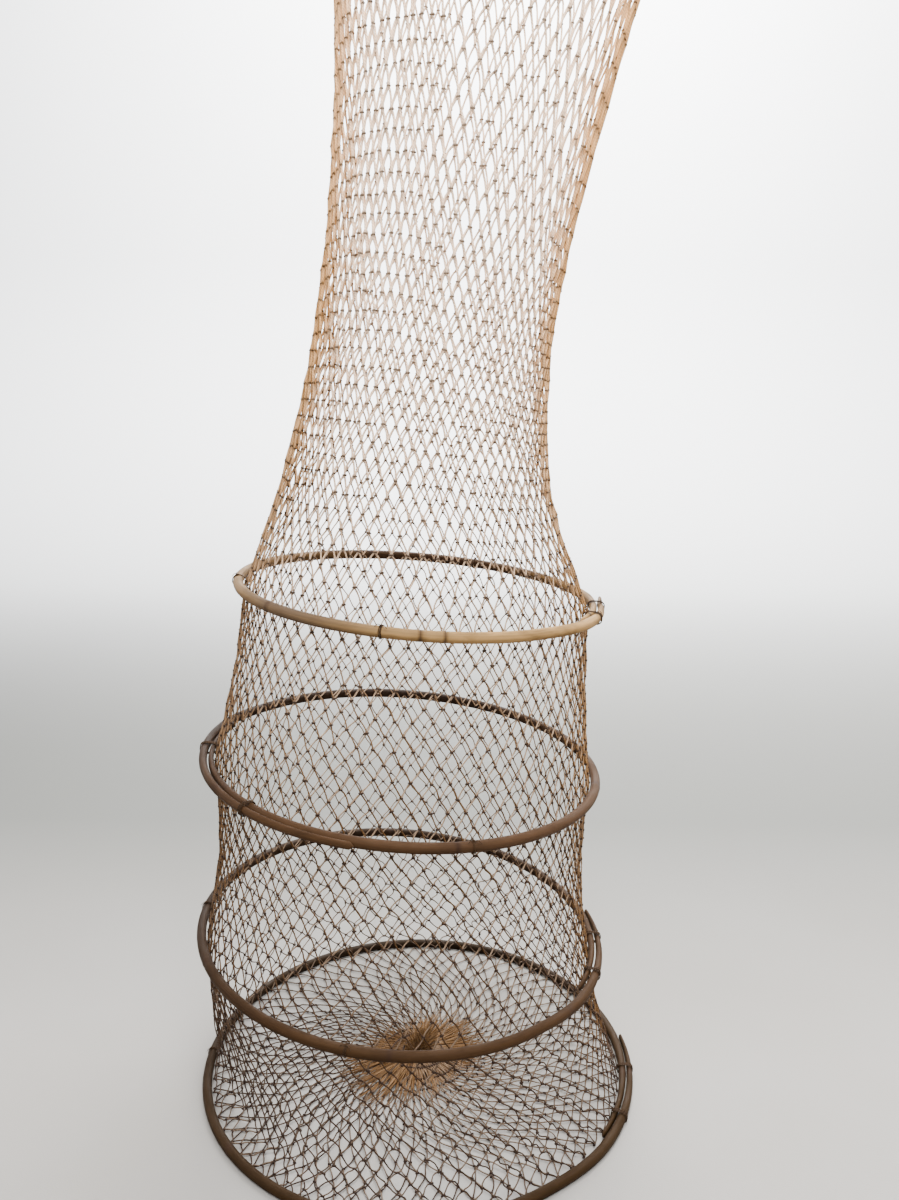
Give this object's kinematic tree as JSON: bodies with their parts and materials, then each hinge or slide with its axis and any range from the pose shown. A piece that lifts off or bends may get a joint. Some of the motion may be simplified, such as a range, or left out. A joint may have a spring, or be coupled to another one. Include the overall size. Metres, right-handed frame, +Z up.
{
  "type": "hooped keep net",
  "caption": "Collapsible hooped keep net: a knotted twine tube, closed at the bottom and tied inside bent bamboo hoops, with a long net sleeve as its neck.",
  "frame": {"origin": "on the floor at the middle of the bottom hoop", "axes": "+Z up, -Y the front, +X to the right seen from the front; the mouth is above and leans towards +X"},
  "size_m": [0.3745, 0.368, 0.9276],
  "materials": {
    "bamboo_top": "pale weathered bamboo, satin",
    "bamboo_middle": "grey-brown weathered bamboo, satin",
    "bamboo_lower": "dark brown bamboo, satin",
    "bamboo_bottom": "dark olive-brown bamboo, satin",
    "netting": "brown tarred twine, knotted, matt",
    "twine": "dark brown twisted twine, matt"
  },
  "bodies": {
    "mouth": {"mouth_selvedge": "twine", "sleeve_netting": "netting"},
    "top_hoop": {"top_hoop_rod": "bamboo_top", "top_hoop_lashing_1": "twine", "top_hoop_lashing_2": "twine", "top_hoop_net_tie_1": "twine", "top_hoop_net_tie_2": "twine", "top_hoop_net_tie_3": "twine", "top_hoop_net_tie_4": "twine", "upper_wall_netting": "netting"},
    "middle_hoop": {"middle_hoop_rod": "bamboo_middle", "middle_hoop_lashing_1": "twine", "middle_hoop_lashing_2": "twine", "middle_hoop_net_tie_1": "twine", "middle_hoop_net_tie_2": "twine", "middle_hoop_net_tie_3": "twine", "middle_hoop_net_tie_4": "twine", "middle_wall_netting": "netting"},
    "lower_hoop": {"lower_hoop_rod": "bamboo_lower", "lower_hoop_lashing_1": "twine", "lower_hoop_lashing_2": "twine", "lower_hoop_net_tie_1": "twine", "lower_hoop_net_tie_2": "twine", "lower_hoop_net_tie_3": "twine", "lower_hoop_net_tie_4": "twine", "lower_wall_netting": "netting"},
    "bottom_hoop": {"bottom_hoop_rod": "bamboo_bottom", "bottom_hoop_lashing_1": "twine", "bottom_hoop_lashing_2": "twine", "bottom_hoop_net_tie_1": "twine", "bottom_hoop_net_tie_2": "twine", "bottom_hoop_net_tie_3": "twine", "bottom_hoop_net_tie_4": "twine", "bottom_netting": "netting", "bottom_gather": "netting", "gather_binding": "twine"}
  },
  "joints": [
    {"name": "top_hoop_lift", "type": "slide", "parent": "mouth", "child": "top_hoop", "axis": [0.0797, -0.0359, 0.9962], "range_m": [0, 0.43], "deforming": ["sleeve_netting"]},
    {"name": "middle_hoop_lift", "type": "slide", "parent": "top_hoop", "child": "middle_hoop", "axis": [0.0797, -0.0359, 0.9962], "range_m": [0, 0.125], "deforming": ["upper_wall_netting"]},
    {"name": "lower_hoop_lift", "type": "slide", "parent": "middle_hoop", "child": "lower_hoop", "axis": [0.0797, -0.0359, 0.9962], "range_m": [0, 0.134], "deforming": ["middle_wall_netting"]},
    {"name": "bottom_hoop_lift", "type": "slide", "parent": "lower_hoop", "child": "bottom_hoop", "axis": [0, 0, 1], "range_m": [0, 0.09], "deforming": ["lower_wall_netting"]}
  ]
}
